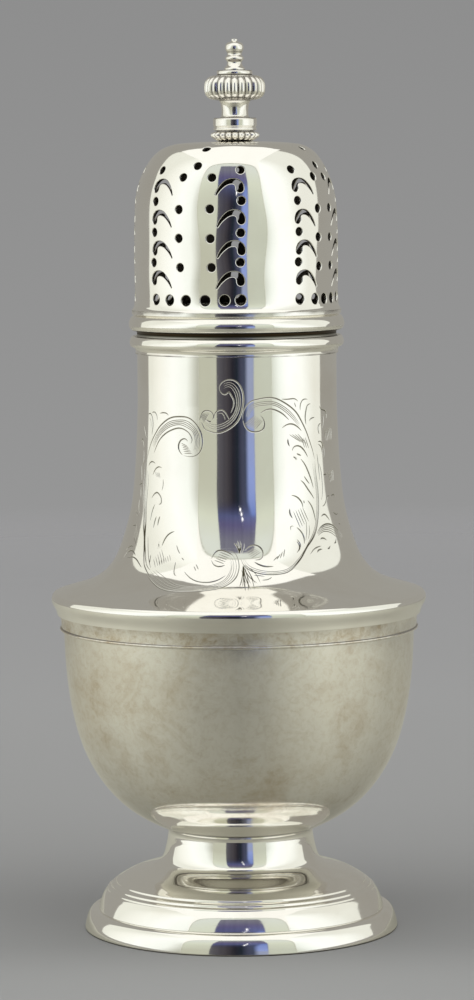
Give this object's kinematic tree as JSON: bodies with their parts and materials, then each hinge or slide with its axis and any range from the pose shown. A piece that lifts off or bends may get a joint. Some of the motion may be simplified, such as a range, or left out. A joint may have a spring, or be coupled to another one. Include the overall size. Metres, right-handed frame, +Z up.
{
  "type": "sugar caster",
  "caption": "Footed silver vase caster: spreading foot, round bowl, waisted neck, and a pull-off pierced cover with a turned finial, for sprinkling sugar.",
  "frame": {"origin": "middle of the foot, on the surface that it stands on", "axes": "+Z up along the caster's axis of revolution; -Y is the front that the picture shows"},
  "size_m": [0.0864, 0.0864, 0.205],
  "materials": {
    "silver": "mirror-polished silver with fine handling scratches and faint brown tarnish",
    "engraved_silver": "mirror-polished silver with bright-cut scroll and leaf engraving",
    "pierced_silver": "mirror-polished silver, pierced, with bright chamfered edges",
    "plain_silver": "satin silver, unpolished inside the cover",
    "cast_silver": "cast and burnished silver with darker hollows",
    "fixing_metal": "dull silver, file-finished"
  },
  "bodies": {
    "caster_body": {"foot_rim_wire": "silver", "foot": "silver", "bowl": "silver", "girdle_wire": "silver", "upper_body": "engraved_silver", "neck_rim_wire": "silver"},
    "cover": {"cover_rim_wire": "silver", "pierced_dome": "pierced_silver", "cover_bezel": "plain_silver", "finial_rosette": "cast_silver", "finial_collar": "cast_silver", "finial_waist": "cast_silver", "finial_melon_knop": "cast_silver", "finial_cap": "cast_silver", "finial_spindle": "cast_silver", "finial_tip": "cast_silver", "finial_stud": "fixing_metal", "finial_washer": "fixing_metal", "finial_nut": "fixing_metal"}
  },
  "joints": [
    {"name": "cover_lift", "type": "slide", "parent": "caster_body", "child": "cover", "axis": [0, 0, 1], "range_m": [0, 0.04]}
  ]
}
